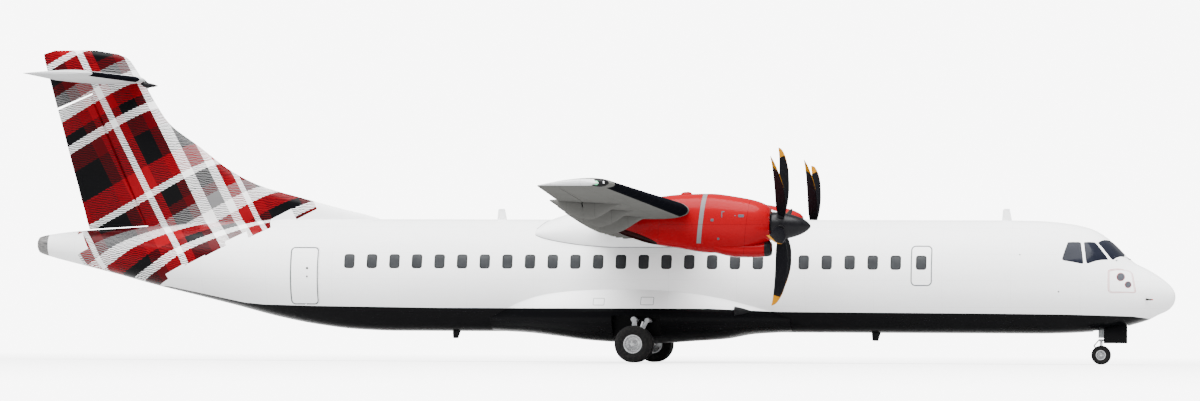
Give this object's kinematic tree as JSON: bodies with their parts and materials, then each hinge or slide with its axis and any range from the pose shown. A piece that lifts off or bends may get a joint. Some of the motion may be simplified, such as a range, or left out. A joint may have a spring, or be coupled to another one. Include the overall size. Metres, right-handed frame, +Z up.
{
  "type": "turboprop airliner",
  "caption": "Regional turboprop airliner with a high wing, T-tail, scimitar propellers, belly fairings and paired landing gear wheels, parked.",
  "frame": {"origin": "on the ground, mid length, on the centreline", "axes": "+X forward to the nose, +Y port, +Z up"},
  "size_m": [27.166, 27.0548, 7.413],
  "materials": {
    "white_paint": "gloss",
    "grey_paint": "satin",
    "red_paint": "gloss",
    "black_composite": "satin",
    "bare_metal": "satin",
    "engine_metal": "satin",
    "gear_paint": "gloss",
    "wheel_metal": "satin",
    "glazing": "gloss",
    "tyre": "matte"
  },
  "bodies": {
    "airframe": {"radome": "white_paint", "fuselage_front": "white_paint", "fuselage_centre": "white_paint", "fuselage_rear": "white_paint", "tail_cone_cap": "bare_metal", "cockpit_glazing": "glazing", "wing_centre": "grey_paint", "wing_outer_right": "grey_paint", "wing_outer_left": "grey_paint", "wing_root_fairing": "white_paint", "belly_fairing": "white_paint", "fin": "white_paint", "fin_tip": "white_paint", "tailplane": "grey_paint", "nacelle_right": "red_paint", "nacelle_left": "red_paint", "engine_right": "engine_metal", "engine_left": "engine_metal", "emergency_hatch_right": "white_paint", "emergency_hatch_left": "white_paint", "nose_gear_leg": "gear_paint", "main_gear_leg_right": "gear_paint", "main_gear_leg_left": "gear_paint", "nose_gear_door_right": "white_paint", "nose_gear_door_left": "white_paint"},
    "propeller_right": {"spinner_right": "black_composite", "propeller_right": "black_composite"},
    "propeller_left": {"spinner_left": "black_composite", "propeller_left": "black_composite"},
    "rudder": {"rudder": "white_paint"},
    "elevator_right": {"elevator_right": "grey_paint"},
    "elevator_left": {"elevator_left": "grey_paint"},
    "aileron_right": {"aileron_right": "grey_paint"},
    "aileron_left": {"aileron_left": "grey_paint"},
    "flap_inner_right": {"flap_inner_right": "grey_paint"},
    "flap_inner_left": {"flap_inner_left": "grey_paint"},
    "flap_outer_right": {"flap_outer_right": "grey_paint"},
    "flap_outer_left": {"flap_outer_left": "grey_paint"},
    "passenger_door": {"passenger_door": "white_paint"},
    "service_door": {"service_door": "white_paint"},
    "cargo_door": {"cargo_door": "white_paint"},
    "nose_steering": {"nose_steering_leg": "gear_paint"},
    "nose_wheels": {"nose_wheel_hubs": "wheel_metal", "nose_tyre_right": "tyre", "nose_tyre_left": "tyre"},
    "main_wheels_right": {"main_wheel_hubs_right": "wheel_metal", "main_tyre_inner_right": "tyre", "main_tyre_outer_right": "tyre"},
    "main_wheels_left": {"main_wheel_hubs_left": "wheel_metal", "main_tyre_inner_left": "tyre", "main_tyre_outer_left": "tyre"}
  },
  "joints": [
    {"name": "propeller_right_spin", "type": "hinge", "parent": "airframe", "child": "propeller_right", "pos_m": [4.713, -4.05, 3.15], "axis": [1, 0, 0], "continuous": true},
    {"name": "propeller_left_spin", "type": "hinge", "parent": "airframe", "child": "propeller_left", "pos_m": [4.713, 4.05, 3.15], "axis": [1, 0, 0], "continuous": true},
    {"name": "rudder_swing", "type": "hinge", "parent": "airframe", "child": "rudder", "pos_m": [-10.90199, 0, 3.19764], "axis": [-0.395, 0, 0.9187], "range_deg": [-27, 27]},
    {"name": "elevator_right_swing", "type": "hinge", "parent": "airframe", "child": "elevator_right", "pos_m": [-12.45262, -0.24, 6.7], "axis": [-0.0276, -0.9996, 0], "range_deg": [-23, 13]},
    {"name": "elevator_left_swing", "type": "hinge", "parent": "airframe", "child": "elevator_left", "pos_m": [-12.45262, 0.24, 6.7], "axis": [0.0276, -0.9996, 0], "range_deg": [-23, 13]},
    {"name": "aileron_right_swing", "type": "hinge", "parent": "airframe", "child": "aileron_right", "pos_m": [0.78988, -9.37616, 3.68105], "axis": [-0.0005, -0.999, 0.0444], "range_deg": [-14, 14]},
    {"name": "aileron_left_swing", "type": "hinge", "parent": "airframe", "child": "aileron_left", "pos_m": [0.78988, 9.37616, 3.68105], "axis": [0.0005, -0.999, -0.0444], "range_deg": [-14, 14]},
    {"name": "flap_inner_right_drop", "type": "hinge", "parent": "airframe", "child": "flap_inner_right", "pos_m": [0.75999, -1.46, 3.28701], "axis": [0, -1, 0], "range_deg": [0, 35]},
    {"name": "flap_inner_left_drop", "type": "hinge", "parent": "airframe", "child": "flap_inner_left", "pos_m": [0.75999, 1.46, 3.28701], "axis": [0, -1, 0], "range_deg": [0, 35]},
    {"name": "flap_outer_right_drop", "type": "hinge", "parent": "airframe", "child": "flap_outer_right", "pos_m": [0.76003, -4.71878, 3.2899], "axis": [0.0009, -0.9986, 0.0531], "range_deg": [0, 35]},
    {"name": "flap_outer_left_drop", "type": "hinge", "parent": "airframe", "child": "flap_outer_left", "pos_m": [0.76003, 4.71878, 3.2899], "axis": [-0.0009, -0.9986, -0.0531], "range_deg": [0, 35]},
    {"name": "passenger_door_swing", "type": "hinge", "parent": "airframe", "child": "passenger_door", "pos_m": [-6.667, 1.18958, 1.331], "axis": [1, 0, 0], "range_deg": [-122, 0]},
    {"name": "service_door_swing", "type": "hinge", "parent": "airframe", "child": "service_door", "pos_m": [-6.504, -1.41136, 2], "axis": [0, 0, 1], "range_deg": [0, 95]},
    {"name": "cargo_door_swing", "type": "hinge", "parent": "airframe", "child": "cargo_door", "pos_m": [9.323, 1.08929, 2.873], "axis": [1, 0, 0], "range_deg": [0, 100]},
    {"name": "nose_steering", "type": "hinge", "parent": "airframe", "child": "nose_steering", "pos_m": [11.853, 0, 0.62], "axis": [0, 0, 1], "range_deg": [-60, 60]},
    {"name": "nose_wheels_spin", "type": "hinge", "parent": "nose_steering", "child": "nose_wheels", "pos_m": [11.853, 0, 0.225], "axis": [0, 1, 0], "continuous": true},
    {"name": "main_wheels_right_spin", "type": "hinge", "parent": "airframe", "child": "main_wheels_right", "pos_m": [1.083, -2.05, 0.432], "axis": [0, 1, 0], "continuous": true},
    {"name": "main_wheels_left_spin", "type": "hinge", "parent": "airframe", "child": "main_wheels_left", "pos_m": [1.083, 2.05, 0.432], "axis": [0, 1, 0], "continuous": true}
  ],
  "couplings": [
    {"joint": "elevator_left_swing", "follows": "elevator_right_swing", "ratio": 1},
    {"joint": "aileron_left_swing", "follows": "aileron_right_swing", "ratio": -1},
    {"joint": "flap_inner_left_drop", "follows": "flap_inner_right_drop", "ratio": 1},
    {"joint": "flap_outer_right_drop", "follows": "flap_inner_right_drop", "ratio": 1},
    {"joint": "flap_outer_left_drop", "follows": "flap_inner_right_drop", "ratio": 1}
  ]
}
